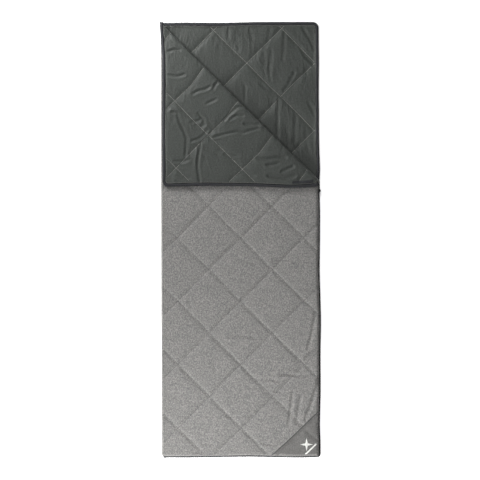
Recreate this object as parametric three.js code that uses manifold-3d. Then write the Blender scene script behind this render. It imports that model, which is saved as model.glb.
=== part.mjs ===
// A quilted camp quilt: a blanket folded lengthwise about its left edge and zipped down the
// right side and along the foot. Its top layer is turned back at the head along a diagonal.
// Units are millimetres. +X points to the zipped side, +Y to the head end and +Z up. The origin
// is on the ground, under the centre of the whole object.

import * as THREE from 'three';
import { mergeVertices } from 'three/addons/utils/BufferGeometryUtils.js';
import Module from 'manifold-3d';

const wasm = await Module();
wasm.setup();

// ---- Driving dimensions ----
const fullLength = 2000; // over the zip coils, head to foot
const foldedWidth = 726; // from the long fold to the edge of the outer cloth on the zipped side
const layer = 16; // thickness that each quilted layer takes in the stack
const flapSlack = 14; // extra width cut into the turned-back corner
const headRadius = 26; // corners at the head
const footRadius = 12; // corners at the foot
const running = 0.3; // gap left between pieces that touch

const cloth = 1.2; // outer cloth and lining with their seam allowance
const battInset = 5; // the filling stops this far inside the edge
const liningInset = 14; // the lining stops here, and the zip tape shows beyond it
const sideGap = 5; // the outer cloth's side wall stops this far from the zip's plane

const coilOut = 3.5; // how far the zip coil stands out from the outer cloth
const coilHeight = 2.4;
const tapeEdge = 0.4; // from the edge of the tape to the edge of the outer cloth

const patchWidth = 220; // corner patch, along the foot
const patchHeight = 207; // corner patch, along the side
const patchThickness = 0.8;
const pipingWidth = 3.2;
const pipingHeight = 2.4;
const emblemReach = 30; // centre to point
const emblemWaist = 8; // centre to the notch between two points
const emblemThickness = 0.6;

const snagLength = 105; // stiffening tape beside the zip at the turned-back corner
const snagWidth = 12;
const snagThickness = 0.9;

const sliderLength = 15;
const sliderWall = 1.3;
const sliderRest = 225; // place of the slider along the side, counted from the middle
const pinRadius = 0.7;
const pinOut = 7.2; // the pull's pin, out from the edge of the outer cloth
const eyeRadius = 1.9;
const pullLength = 27;
const pullWidth = 8;
const pullThickness = 1.4;

const stopLength = 7;
const boxLength = 14; // the pin and box that let the zip part at the foot
const boxStart = 8; // from the fold to the box

// ---- Derived places ----
const pullOut = pinOut + eyeRadius;
const fold = -(foldedWidth + pullOut - coilOut) / 2; // x of the long fold
const side = fold + foldedWidth; // x of the outer cloth's edge on the zipped side
const head = fullLength / 2 - coilOut; // y of the outer cloth's edge at the head
const foot = -head;
const foldEnd = head - foldedWidth; // y where the diagonal fold meets the zipped side
const flapFoot = foldEnd - flapSlack; // y of the turned-back corner's lower edge
const coverTop = 2 * layer - running;
const flapFace = 3 * layer - 2 * running - snagThickness; // the guard lies on this face

// ---- Materials ----
const finish = (color, roughness, metalness = 0) =>
  new THREE.MeshStandardMaterial({ color, roughness, metalness });
const shellCloth = finish(0x8f8e8b, 0.9);
const liningCloth = finish(0x53574f, 0.6);
const batting = finish(0xe6e5df, 1.0);
const tapeCloth = finish(0x3c3c42, 0.8);
const coilPlastic = finish(0x17181a, 0.45);
const patchCloth = finish(0x7c7b79, 0.9);
const pipingCloth = finish(0x2b2c2e, 0.7);
const emblemThread = finish(0xdcdcd8, 0.6);
const sliderMetal = finish(0x2a2b2e, 0.4, 0.9);

const quilt = new THREE.Group();

function place(name, geometry, material, z = 0) {
  const mesh = new THREE.Mesh(geometry, material);
  mesh.name = name;
  mesh.position.z = z;
  quilt.add(mesh);
}

// ---- Shapes ----
// A point r along the straight line from one corner to another.
function along([x, y], [toX, toY], r) {
  const distance = Math.hypot(toX - x, toY - y);
  return [x + ((toX - x) * r) / distance, y + ((toY - y) * r) / distance];
}

// A closed outline through corners [x, y, radius]. Only square corners have a radius.
function outline(corners) {
  const arcHandle = 0.5523; // a quarter circle as one cubic curve
  const shape = new THREE.Shape();
  corners.forEach(([x, y, radius = 0], i) => {
    const start = along([x, y], corners.at(i - 1), radius);
    const end = along([x, y], corners[(i + 1) % corners.length], radius);
    if (i === 0) shape.moveTo(...start);
    else shape.lineTo(...start);
    if (radius > 0) {
      const handleIn = along(start, [x, y], radius * arcHandle);
      const handleOut = along(end, [x, y], radius * arcHandle);
      shape.bezierCurveTo(...handleIn, ...handleOut, ...end);
    }
  });
  shape.closePath();
  return shape;
}

function slab(shape, low, high) {
  const geometry = new THREE.ExtrudeGeometry(shape, {
    depth: high - low, bevelEnabled: false, curveSegments: 6,
  });
  return geometry.translate(0, 0, low);
}

function solid(geometry) {
  const bare = geometry.clone();
  bare.deleteAttribute('normal');
  bare.deleteAttribute('uv');
  const merged = mergeVertices(bare, 1e-3);
  return new wasm.Manifold(new wasm.Mesh({
    numProp: 3,
    vertProperties: new Float32Array(merged.attributes.position.array),
    triVerts: new Uint32Array(merged.index.array),
  }));
}

function shown(manifold) {
  const mesh = manifold.getMesh();
  const geometry = new THREE.BufferGeometry();
  geometry.setAttribute('position', new THREE.BufferAttribute(mesh.vertProperties, 3));
  geometry.setIndex(new THREE.BufferAttribute(mesh.triVerts, 1));
  geometry.computeVertexNormals();
  return geometry;
}

const cut = (body, ...tools) => tools.reduce((rest, tool) => rest.subtract(tool), body);
const join = (body, ...others) => others.reduce((whole, other) => whole.add(other), body);
const block = (x0, x1, y0, y1, z0, z1) =>
  new THREE.BoxGeometry(x1 - x0, y1 - y0, z1 - z0)
    .translate((x0 + x1) / 2, (y0 + y1) / 2, (z0 + z1) / 2);
const rounded = (radius, offset) => Math.max(0, radius + offset);

// ---- Edges of the three layers, moved outwards by an offset ----
const inner = fold + running; // edge beside the long fold
const diagonal = (x) => head - (x - fold); // the diagonal fold's line
const slant = running * Math.SQRT2; // the gap to the diagonal, measured along X or Y

const baseRim = (offset) => [
  [inner, head + offset],
  [side + offset, head + offset, rounded(headRadius, offset)],
  [side + offset, foot - offset, rounded(footRadius, offset)],
  [inner, foot - offset],
];
const coverRim = (offset) => [
  [side + offset, diagonal(side + offset) - slant],
  [side + offset, foot - offset, rounded(footRadius, offset)],
  [inner, foot - offset],
];
const flapRim = (offset) => [
  [fold - offset, diagonal(fold - offset) - slant],
  [fold - offset, flapFoot - offset, rounded(headRadius, offset)],
  [Math.min(side - running, fold + head - slant - flapFoot + offset), flapFoot - offset],
];
const coverCorner = [inner, diagonal(inner) - slant];
const flapCorner = [side - running, diagonal(side - running) - slant];

const baseEdge = (offset) => baseRim(offset);
const coverEdge = (offset) => [...coverRim(offset), coverCorner];
// Far enough in, the lower edge runs straight into the diagonal and has no corner of its own.
const flapEdge = (offset) =>
  (flapFoot - offset < flapCorner[1] ? [...flapRim(offset), flapCorner] : flapRim(offset));

// The strip between two offsets of a rim.
const strip = (rim, outer, within) => outline([...rim(outer), ...rim(within).reverse()]);

// ---- One quilted layer: outer cloth, filling, lining, zip tape and coil ----
// lining is the height of the lining's face, and up is 1 where the lining is the upper face.
function quiltedLayer(name, edge, rim, outerFace, liningFace, up) {
  const span = (from, to) => [Math.min(from, to), Math.max(from, to)];
  const wallEnd = liningFace - up * (sideGap - running);
  const plate = outerFace + up * cloth;
  const panel = slab(outline(edge(0)), ...span(outerFace, plate));
  const wall = slab(strip(rim, 0, -cloth), ...span(outerFace, wallEnd));
  place(`${name}_shell`, shown(join(solid(panel), solid(wall))), shellCloth);

  const filling = span(plate + up * running, liningFace - up * (cloth + running));
  place(`${name}_batting`, slab(outline(edge(-battInset)), ...filling), batting);

  const face = span(liningFace - up * cloth, liningFace);
  place(`${name}_lining`, slab(outline(edge(-liningInset)), ...face), liningCloth);
  const tape = strip(rim, -tapeEdge, -liningInset + running);
  place(`${name}_zip_tape`, slab(tape, ...face), tapeCloth);
}

function zipCoil(name, rim, liningFace, up) {
  const face = [liningFace - up * coilHeight, liningFace];
  const band = strip(rim, coilOut, running);
  place(name, slab(band, Math.min(...face), Math.max(...face)), coilPlastic);
}

quiltedLayer('base', baseEdge, baseRim, 0, layer - running, 1);
quiltedLayer('cover', coverEdge, coverRim, coverTop, layer + running, -1);
quiltedLayer('flap', flapEdge, flapRim, 2 * layer + running, flapFace, 1);

// ---- Zip coils, shortened where a stop, pin or box ends them ----
const boxEnd = fold + boxStart + boxLength;
const shortened = (rim, start, end) => (offset) => {
  const corners = rim(offset);
  corners[0] = [start ?? corners[0][0], corners[0][1]];
  corners[corners.length - 1] = [end ?? corners.at(-1)[0], corners.at(-1)[1]];
  return corners;
};
const headStopEnd = inner + stopLength;
const baseCoil = shortened(baseRim, headStopEnd + running, boxEnd + running);
const coverCoil = shortened(coverRim, null, boxEnd + running);
const flapCoil = (offset) => {
  const corners = flapRim(offset);
  corners[0] = [corners[0][0], head - stopLength - 2 * running];
  return corners;
};
zipCoil('base_zip_coil', baseCoil, layer - running, 1);
zipCoil('cover_zip_coil', coverCoil, layer + running, -1);
zipCoil('flap_zip_coil', flapCoil, flapFace, 1);

// ---- Stops at the head, and the pin and box at the foot ----
const coilY = (edge, outwards) =>
  [edge + outwards * running, edge + outwards * coilOut].sort((a, b) => a - b);
const headBand = coilY(head, 1);
const footBand = coilY(foot, -1);
place('base_head_stop', block(
  inner, headStopEnd, ...headBand, layer - running - coilHeight, layer - running,
), sliderMetal);
place('flap_head_stop', block(
  fold - coilOut, fold - running, head - stopLength - running, head - running,
  flapFace - coilHeight, flapFace,
), sliderMetal);
place('foot_retainer_box', block(
  fold + boxStart, boxEnd, ...footBand, layer - running - 1.4 * coilHeight, layer - running,
), sliderMetal);
place('foot_insertion_pin', block(
  fold + boxStart, boxEnd, ...footBand, layer + running, layer + running + 0.7 * coilHeight,
), sliderMetal);

// ---- Corner patch with its piping and emblem, on the cover near the foot ----
const patchEdge = 6; // the patch stops short of the seam
const patchX = side - patchEdge;
const patchY = foot + patchEdge;
const slope = Math.hypot(patchWidth, patchHeight);
const across = [patchHeight / slope, patchWidth / slope]; // unit vector square to the piping
const pipingLine = (away) => [
  [side - patchWidth - across[0] * away, patchY],
  [patchX, foot + patchHeight + across[1] * away],
];
const patchLow = coverTop + running;
const patchTop = patchLow + patchThickness;
place('corner_patch', slab(
  outline([[patchX, patchY], ...pipingLine(-running).reverse()]), patchLow, patchTop,
), patchCloth);
place('patch_piping', slab(
  outline([...pipingLine(0), ...pipingLine(pipingWidth).reverse()]),
  patchLow, patchLow + pipingHeight,
), pipingCloth);

function star(points, reach, waist) {
  return Array.from({ length: 2 * points }, (_, i) => {
    const turn = (i * Math.PI) / points;
    const radius = i % 2 ? waist : reach;
    return [radius * Math.cos(turn), radius * Math.sin(turn)];
  });
}
const emblemX = side - 0.28 * patchWidth;
const emblemY = foot + 0.28 * patchHeight;
place('emblem', slab(
  outline(star(4, emblemReach, emblemWaist).map(([x, y]) => [x + emblemX, y + emblemY])),
  patchTop + running, patchTop + running + emblemThickness,
), emblemThread);

// ---- Stiffening tape beside the zip of the turned-back corner ----
const snagY = flapFoot + liningInset + 2;
const snagEnd = side - 30;
place('snag_guard', slab(outline([
  [snagEnd, snagY, snagWidth / 3],
  [snagEnd, snagY + snagWidth, snagWidth / 3],
  [snagEnd - snagLength, snagY + snagWidth, snagWidth / 3],
  [snagEnd - snagLength, snagY, snagWidth / 3],
]), flapFace + running, flapFace + running + snagThickness), tapeCloth);

// ---- Zip slider: outer wall, floor and lip round the lower coil, and lugs for the pull ----
const half = sliderLength / 2;
const y0 = sliderRest - half;
const y1 = sliderRest + half;
const wallIn = side + coilOut + running;
const wallOut = wallIn + sliderWall;
const floorTop = layer - running - coilHeight - running;
const floorLow = floorTop - sliderWall;
const lipEdge = side - 3.2;
const lipTop = layer - running - cloth - running;
const wallTop = 2 * layer - floorLow;
const lugReach = side + pinOut + pinRadius + 0.6;
const lugHeight = 1.4;
const lugHalf = 1.6;
const lugAt = (z) => solid(block(
  wallOut - 0.5, lugReach, sliderRest - lugHalf, sliderRest + lugHalf, z, z + lugHeight,
));
const hole = new THREE.CylinderGeometry(pinRadius + running, pinRadius + running, 2 * layer, 12)
  .rotateX(Math.PI / 2)
  .translate(side + pinOut, sliderRest, layer);
const sliderBody = cut(join(
  solid(block(wallIn, wallOut, y0, y1, floorLow, wallTop)),
  solid(block(lipEdge, wallOut, y0, y1, floorLow, floorTop)),
  solid(block(lipEdge, lipEdge + sliderWall, y0, y1, floorLow, lipTop)),
  lugAt(wallTop - lugHeight),
  lugAt(floorLow),
), solid(hole));
place('slider_body', shown(sliderBody), sliderMetal);

place('pull_pin', new THREE.CylinderGeometry(pinRadius, pinRadius, wallTop - floorLow, 12)
  .rotateX(Math.PI / 2)
  .translate(side + pinOut, sliderRest, layer), sliderMetal);

// ---- Pull tab: an eye on the pin, a neck and a blade ----
const eyeHalf = (wallTop - floorLow) / 2 - lugHeight - running;
const eye = new THREE.CylinderGeometry(eyeRadius, eyeRadius, 2 * eyeHalf, 16)
  .rotateX(Math.PI / 2)
  .translate(side + pinOut, sliderRest, layer);
const neckHalf = 0.9 * eyeHalf;
const bladeX = side + pinOut - pullThickness / 2;
const neckStart = sliderRest - eyeRadius + 0.6;
const bladeStart = sliderRest - 5;
const bladeEnd = sliderRest - pullLength;
const bladeShape = outline([
  [bladeEnd, -pullWidth / 2, 3], [bladeStart, -pullWidth / 2, 2],
  [bladeStart, pullWidth / 2, 2], [bladeEnd, pullWidth / 2, 3],
]);
bladeShape.holes.push(outline([
  [bladeEnd + 3, -pullWidth / 4, 1.5], [bladeEnd + 9, -pullWidth / 4, 1.5],
  [bladeEnd + 9, pullWidth / 4, 1.5], [bladeEnd + 3, pullWidth / 4, 1.5],
]));
const blade = new THREE.ExtrudeGeometry(bladeShape, {
  depth: pullThickness, bevelEnabled: false, curveSegments: 4,
});
// The blade's outline is drawn along Y and Z: X of the drawing becomes Y, and Y becomes Z.
blade.applyMatrix4(new THREE.Matrix4().set(
  0, 0, 1, bladeX,
  1, 0, 0, 0,
  0, 1, 0, layer,
  0, 0, 0, 1,
));
const neck = block(
  bladeX, bladeX + pullThickness, bladeStart - 1, neckStart, layer - neckHalf, layer + neckHalf,
);
place('pull_tab', shown(cut(join(solid(eye), solid(neck), solid(blade)), solid(hole))),
  sliderMetal);

export default quilt;
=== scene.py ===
"""The looks of a folded camp quilt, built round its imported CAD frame.

Cloth panels are lattices of cloth cells laid along the quilting seams. They are inflated by cloth
simulation between the seams, and then bent to the folds and the zip. All lengths are in metres.
"""

import math

import bmesh
import bpy
from mathutils import Matrix, Vector, noise
from mathutils.bvhtree import BVHTree


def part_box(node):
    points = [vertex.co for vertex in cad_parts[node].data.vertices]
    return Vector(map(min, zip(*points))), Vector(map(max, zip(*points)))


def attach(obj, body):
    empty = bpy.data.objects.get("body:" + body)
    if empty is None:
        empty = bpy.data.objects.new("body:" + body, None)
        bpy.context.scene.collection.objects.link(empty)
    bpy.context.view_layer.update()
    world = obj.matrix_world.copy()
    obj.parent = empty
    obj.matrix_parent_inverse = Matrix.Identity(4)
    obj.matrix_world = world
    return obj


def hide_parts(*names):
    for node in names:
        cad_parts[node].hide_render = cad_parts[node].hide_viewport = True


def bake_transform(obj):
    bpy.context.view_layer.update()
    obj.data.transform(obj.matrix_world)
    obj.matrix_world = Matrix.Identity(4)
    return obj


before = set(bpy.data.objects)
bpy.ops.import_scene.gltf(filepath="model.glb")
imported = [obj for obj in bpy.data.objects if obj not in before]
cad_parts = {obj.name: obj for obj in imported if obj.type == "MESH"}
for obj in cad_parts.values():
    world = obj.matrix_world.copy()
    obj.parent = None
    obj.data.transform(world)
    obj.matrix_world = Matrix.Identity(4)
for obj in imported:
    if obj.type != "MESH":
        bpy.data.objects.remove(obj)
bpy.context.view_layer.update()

noise.seed_set(3)  # so that the cloth wanders the same way each time

# ---- Places, from the frame ----
MM = 0.001
shell_low, shell_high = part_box("base_shell")
FOLD_X = shell_low.x - 0.3 * MM
SIDE_X = shell_high.x
HEAD_Y = shell_high.y
FOOT_Y = shell_low.y
LAYER = (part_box("base_lining")[1].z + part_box("cover_lining")[0].z) / 2
FLAP_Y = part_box("flap_shell")[0].y
FOLD_SUM = FOLD_X + HEAD_Y  # x + y is this along the diagonal fold
FOLD_END_Y = FOLD_SUM - SIDE_X
HALF_ROOT = math.sqrt(0.5)

# Each fold's two ends, and the way from it into the quilt
LONG_FOLD = [Vector((FOLD_X, HEAD_Y)), Vector((FOLD_X, FOOT_Y))]
DIAGONAL = [Vector((FOLD_X, HEAD_Y)), Vector((SIDE_X, FOLD_END_Y))]
FROM_LONG_FOLD = Vector((1, 0))
FROM_DIAGONAL = Vector((-HALF_ROOT, -HALF_ROOT))
SLIDER_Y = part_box("slider_body")[0].y
ZIP_TRAVEL = 1.18  # how far the slider can run towards the foot
# Where hard fittings sit, so that the cloth keeps to its pattern there
FITTINGS = ((FOLD_X, HEAD_Y), (FOLD_X, FOOT_Y), (SIDE_X, SLIDER_Y), (SIDE_X, SLIDER_Y - ZIP_TRAVEL))

HEAD_RADIUS = 26 * MM
FOOT_RADIUS = 12 * MM
FOOT_CORNER = 5 * MM  # how far the foot end of the long fold is drawn in, so that it is round
CLOTH = 0.5 * MM
SHELL_INSET = 3.5 * MM  # the outer cloth stops here, so that the slider can run past it
LINING_INSET = 13 * MM
TAPE_INSET = 14 * MM
COIL_OUT = 1.9 * MM  # middle of the coil, out from the edge
FLAP_SAG_Z = 2 * LAYER + 9 * MM  # the turned-back corner's edge sags this low
LOFT = LAYER / 2 - 0.8 * MM  # highest that a quilted square may puff above the layer's middle
PUFF = (5 * MM, 14 * MM)  # how far the wadding alone lifts the cloth, and how soon from a seam
FLAT_PUFF = (4.8 * MM, 6.5 * MM)  # the same under the stiffer outer cloth
GROUND_PUFF = (12 * MM, 9 * MM)  # the same where the quilt's weight presses it on the ground
CREASE_FLOOR = 0.8 * MM  # cloth stays this high in a crease, above the wadding
WADDING_INSET = 32 * MM  # the wadding stops this far inside the edge
WADDING_STOPS = 26 * MM  # and this far from a fold
FITTING_GAP = 0.8 * MM  # between the end of a coil and the fitting that closes it

# Quilting seams run at 45 degrees, along lines of constant u = (x + y) / sqrt 2 and constant
# v = (x - y) / sqrt 2. Each layer's lattice is (u of a seam, u pitch, v of a seam, v pitch).
BASE_SEAMS = (0.595, 0.224, -0.333, 0.217)
COVER_SEAMS = (-0.200, 0.205, -0.008, 0.206)
FLAP_SEAMS = (FOLD_SUM * HALF_ROOT - 0.211, 0.211, -0.017, 0.219)
FINEST, FINE, COARSE = 42, 30, 18  # cloth cells from seam to seam


# ---- Colour and nodes ----
def linear(code):
    """An sRGB hex colour as linear RGBA."""
    parts = [int(code[i:i + 2], 16) / 255 for i in (1, 3, 5)]
    return (*[c / 12.92 if c <= 0.04045 else ((c + 0.055) / 1.055) ** 2.4 for c in parts], 1.0)


def add(tree, kind, inputs=None, stops=(), **settings):
    """Adds a shader node. inputs holds its sockets' values or the sockets that feed them."""
    node = tree.nodes.new(kind)
    for name, value in settings.items():
        setattr(node, name, value)
    for socket, value in (inputs or {}).items():
        if isinstance(value, bpy.types.NodeSocket):
            tree.links.new(value, node.inputs[socket])
        else:
            node.inputs[socket].default_value = value
    for count, (place, code) in enumerate(stops):
        if count > 1:
            node.color_ramp.elements.new(place)
        node.color_ramp.elements[count].position = place
        node.color_ramp.elements[count].color = linear(code)
    return node


def new_material(name):
    """A new material, as (material, its tree, Object coordinates)."""
    made = bpy.data.materials.new(name)
    made.use_nodes = True
    tree = made.node_tree
    tree.nodes.clear()
    return made, tree, add(tree, "ShaderNodeTexCoord").outputs["Object"]


def finish(made, tree, shader):
    output = add(tree, "ShaderNodeOutputMaterial")
    tree.links.new(shader.outputs[0], output.inputs["Surface"])
    return made


def stretched(tree, places, scale, turn=0.0):
    """Object coordinates turned about Z and scaled, so that a pattern runs long one way."""
    return add(tree, "ShaderNodeMapping", {
        "Vector": places, "Scale": scale, "Rotation": (0, 0, turn)}).outputs[0]


def bumped(tree, height, distance, under=None, strength=1.0):
    """A bump of that many metres on top of another one."""
    inputs = {"Height": height, "Distance": distance, "Strength": strength}
    if under is not None:
        inputs["Normal"] = under
    return add(tree, "ShaderNodeBump", inputs).outputs["Normal"]


# ---- Cloth, thread and hardware finishes ----
def melange(tree, places, stops, fleck):
    """Cloth colour from yarn flecks of the given length."""
    flecks = add(tree, "ShaderNodeTexNoise", {
        "Vector": stretched(tree, places, (1, 0.6, 1)), "Scale": 1 / fleck, "Detail": 3.0,
        "Roughness": 0.62})
    return add(tree, "ShaderNodeValToRGB", {"Fac": flecks.outputs["Fac"]}, stops=stops)


def heather_polyester(name, stops):
    """Plain-woven polyester from dyed and undyed fibre: matt, and flecked warm and cool grey.

    The yarns are about 0.4 mm apart. They are drawn 2.5 mm apart, and the flecks 5 mm long, so
    that they show on a blanket two metres long.
    """
    made, tree, places = new_material(name)
    colour = melange(tree, places, stops, 4 * MM)
    weave = add(tree, "ShaderNodeTexWave", {
        "Vector": stretched(tree, places, (1, 1, 1), 0.04), "Scale": 1 / (20 * 2.5 * MM) * 2,
        "Distortion": 1.5, "Detail": 1.0, "Detail Scale": 3.0}, bands_direction="X")
    crumple = add(tree, "ShaderNodeTexNoise", {
        "Vector": stretched(tree, places, (18, 40, 18)), "Scale": 1.0, "Detail": 4.0,
        "Roughness": 0.55})
    low = bumped(tree, crumple.outputs["Fac"], 4 * MM)
    normal = bumped(tree, weave.outputs["Fac"], 0.12 * MM, low)
    shader = add(tree, "ShaderNodeBsdfPrincipled", {
        "Base Color": colour.outputs["Color"], "Roughness": 0.92, "Normal": normal,
        "Sheen Weight": 0.15, "Sheen Roughness": 0.5, "Specular IOR Level": 0.25})
    return finish(made, tree, shader)


def taffeta_lining(name):
    """Calendered polyester taffeta: thin and smooth, so it puckers between the seams and its
    folds catch a soft sheen. Its yarns, 0.15 mm apart, are drawn 2.5 mm apart so that they show.
    """
    made, tree, places = new_material(name)
    stops = ((0.28, "#373A37"), (0.50, "#414441"), (0.74, "#4C504C"))
    colour = melange(tree, places, stops, 4.5 * MM)
    patchy = add(tree, "ShaderNodeTexNoise", {"Vector": places, "Scale": 7.0, "Detail": 1.0})
    share = add(tree, "ShaderNodeMapRange", {
        "Value": patchy.outputs["Fac"], "From Min": 0.4, "From Max": 0.65, "To Min": 0.12})
    pucker = add(tree, "ShaderNodeTexNoise", {
        "Vector": stretched(tree, places, (34, 12, 30), 0.12), "Scale": 1.0, "Detail": 3.0,
        "Roughness": 0.5, "Distortion": 0.8})
    fine = add(tree, "ShaderNodeTexNoise", {
        "Vector": stretched(tree, places, (90, 45, 60), -0.2), "Scale": 1.0, "Detail": 3.0,
        "Roughness": 0.6})
    weave = add(tree, "ShaderNodeTexWave", {
        "Vector": places, "Scale": 1 / (20 * 2.5 * MM) * 2, "Distortion": 1.0},
        bands_direction="Y")
    low = bumped(tree, pucker.outputs["Fac"], 6 * MM, strength=share.outputs["Result"])
    middle = bumped(tree, fine.outputs["Fac"], 1.2 * MM, low)
    normal = bumped(tree, weave.outputs["Fac"], 0.08 * MM, middle)
    shader = add(tree, "ShaderNodeBsdfPrincipled", {
        "Base Color": colour.outputs["Color"], "Roughness": 0.55, "Normal": normal,
        "Sheen Weight": 0.1, "Sheen Roughness": 0.4, "Specular IOR Level": 0.35})
    return finish(made, tree, shader)


def hollow_fibre_wadding():
    """Carded hollow polyester fibre: white, matt and loosely tangled."""
    made, tree, places = new_material("hollow_fibre_wadding")
    fibres = add(tree, "ShaderNodeTexNoise", {
        "Vector": places, "Scale": 160.0, "Detail": 5.0, "Distortion": 2.0})
    colour = add(tree, "ShaderNodeValToRGB", {"Fac": fibres.outputs["Fac"]},
                 stops=((0.3, "#D9D6CE"), (0.7, "#F1EFEA")))
    shader = add(tree, "ShaderNodeBsdfPrincipled", {
        "Base Color": colour.outputs["Color"], "Roughness": 1.0, "Sheen Weight": 0.2,
        "Normal": bumped(tree, fibres.outputs["Fac"], 1 * MM)})
    return finish(made, tree, shader)


def spun_thread(name, dark, light):
    """Spun polyester thread: its plies catch the light in turn."""
    made, tree, places = new_material(name)
    plies = add(tree, "ShaderNodeTexNoise", {"Vector": places, "Scale": 350.0, "Detail": 1.0})
    colour = add(tree, "ShaderNodeValToRGB", {"Fac": plies.outputs["Fac"]},
                 stops=((0.35, dark), (0.65, light)))
    shader = add(tree, "ShaderNodeBsdfPrincipled", {
        "Base Color": colour.outputs["Color"], "Roughness": 0.6, "Sheen Weight": 0.2})
    return finish(made, tree, shader)


def ribbed_tape():
    """Narrow-woven polyester tape: blue-black, with fine ribs across the light.

    The ribs, 0.5 mm apart, are drawn 1.5 mm apart so that they show.
    """
    made, tree, places = new_material("ribbed_polyester_tape")
    ribs = add(tree, "ShaderNodeTexWave", {
        "Vector": places, "Scale": 2 / (20 * 1.5 * MM), "Distortion": 0.6},
        bands_direction="DIAGONAL")
    wear = add(tree, "ShaderNodeTexNoise", {"Vector": places, "Scale": 220.0, "Detail": 3.0})
    colour = add(tree, "ShaderNodeValToRGB", {"Fac": wear.outputs["Fac"]},
                 stops=((0.3, "#1C1D20"), (0.7, "#303135")))
    shader = add(tree, "ShaderNodeBsdfPrincipled", {
        "Base Color": colour.outputs["Color"], "Roughness": 0.8,
        "Normal": bumped(tree, ribs.outputs["Fac"], 0.15 * MM)})
    return finish(made, tree, shader)


def nylon_coil():
    """Extruded nylon monofilament, dyed black: smooth, with a soft gloss on each turn."""
    made, tree, places = new_material("nylon_monofilament")
    dye = add(tree, "ShaderNodeTexNoise", {"Vector": places, "Scale": 90.0, "Detail": 2.0})
    colour = add(tree, "ShaderNodeValToRGB", {"Fac": dye.outputs["Fac"]},
                 stops=((0.3, "#0E0E10"), (0.7, "#1C1C1F")))
    shader = add(tree, "ShaderNodeBsdfPrincipled", {
        "Base Color": colour.outputs["Color"], "Roughness": 0.38, "IOR": 1.53})
    return finish(made, tree, shader)


def lacquered_zinc():
    """Die-cast zinc under black lacquer: satin, with casting ripple and rubbed patches."""
    made, tree, places = new_material("lacquered_cast_zinc")
    rub = add(tree, "ShaderNodeTexNoise", {"Vector": places, "Scale": 400.0, "Detail": 4.0})
    colour = add(tree, "ShaderNodeValToRGB", {"Fac": rub.outputs["Fac"]},
                 stops=((0.45, "#1D1E20"), (0.8, "#4A4B4E")))
    gloss = add(tree, "ShaderNodeMapRange", {
        "Value": rub.outputs["Fac"], "To Min": 0.28, "To Max": 0.5})
    shader = add(tree, "ShaderNodeBsdfPrincipled", {
        "Base Color": colour.outputs["Color"], "Roughness": gloss.outputs["Result"],
        "Metallic": 0.75, "Normal": bumped(tree, rub.outputs["Fac"], 0.05 * MM)})
    return finish(made, tree, shader)


def bias_piping():
    """Bias-cut taffeta wrapped round a cord: near black, with slanting yarns 1.5 mm apart."""
    made, tree, places = new_material("bias_taffeta_piping")
    yarns = add(tree, "ShaderNodeTexWave", {
        "Vector": places, "Scale": 2 / (20 * 1.5 * MM), "Distortion": 0.8})
    colour = add(tree, "ShaderNodeValToRGB", {"Fac": yarns.outputs["Fac"]},
                 stops=((0.2, "#242527"), (0.8, "#37383A")))
    shader = add(tree, "ShaderNodeBsdfPrincipled", {
        "Base Color": colour.outputs["Color"], "Roughness": 0.75, "Sheen Weight": 0.2,
        "Normal": bumped(tree, yarns.outputs["Fac"], 0.2 * MM)})
    return finish(made, tree, shader)


def transfer_print():
    """A pressed-on off-white transfer: thin, and slightly cracked over the cloth's yarns."""
    made, tree, places = new_material("pressed_transfer_print")
    cracks = add(tree, "ShaderNodeTexNoise", {"Vector": places, "Scale": 300.0, "Detail": 4.0})
    colour = add(tree, "ShaderNodeValToRGB", {"Fac": cracks.outputs["Fac"]},
                 stops=((0.32, "#B9B9B5"), (0.55, "#E6E6E2")))
    shader = add(tree, "ShaderNodeBsdfPrincipled", {
        "Base Color": colour.outputs["Color"], "Roughness": 0.5,
        "Normal": bumped(tree, cracks.outputs["Fac"], 0.15 * MM)})
    return finish(made, tree, shader)


# ---- Camera, light and floor ----
def look_down():
    camera = bpy.data.cameras.new("camera")
    camera.lens = 100
    camera.sensor_width = 36
    camera.clip_end = 200
    holder = bpy.data.objects.new("camera", camera)
    frame_height = 2.204  # the square of ground that the picture takes in
    holder.location = (-0.004, -0.001, frame_height / 2 / (18 / 100) + LAYER)
    holder.rotation_euler = (0, 0, math.radians(-0.15))
    bpy.context.scene.collection.objects.link(holder)
    bpy.context.scene.camera = holder


def soft_light(name, place, size, power, aim=(0, 0, 0), spread=180):
    lamp = bpy.data.lights.new(name, "AREA")
    lamp.shape = "RECTANGLE"
    lamp.size, lamp.size_y = size
    lamp.energy = power
    lamp.spread = math.radians(spread)
    holder = bpy.data.objects.new(name, lamp)
    holder.location = place
    holder.rotation_euler = (Vector(aim) - Vector(place)).to_track_quat("-Z", "Y").to_euler()
    bpy.context.scene.collection.objects.link(holder)


def studio():
    soft_light("key_head", (-1.15, 1.55, 0.75), (0.6, 0.6), 38, (-0.2, 0.75, 0))
    soft_light("key_foot", (-2.4, -2.4, 1.9), (0.9, 0.9), 24.5, (0, -1.05, 0), 58)
    soft_light("fill_top", (0.8, 0.0, 4.4), (4.5, 4.5), 34)
    world = bpy.data.worlds.new("studio")
    world.use_nodes = True
    background = world.node_tree.nodes["Background"]
    background.inputs["Color"].default_value = (1, 1, 1, 1)
    background.inputs["Strength"].default_value = 0.13
    bpy.context.scene.world = world
    bpy.context.scene.view_settings.view_transform = "Standard"


def lay_floor():
    bm = bmesh.new()
    bmesh.ops.create_grid(bm, x_segments=1, y_segments=1, size=40)
    floor = to_object("floor", bm)
    made, tree, _ = new_material("matt_white_card")
    shader = add(tree, "ShaderNodeBsdfPrincipled", {
        "Base Color": linear("#FAFAFA"), "Roughness": 0.95, "Specular IOR Level": 0.1,
        "Emission Color": linear("#FFFFFF"), "Emission Strength": 0.8})
    floor.data.materials.append(finish(made, tree, shader))


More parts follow.
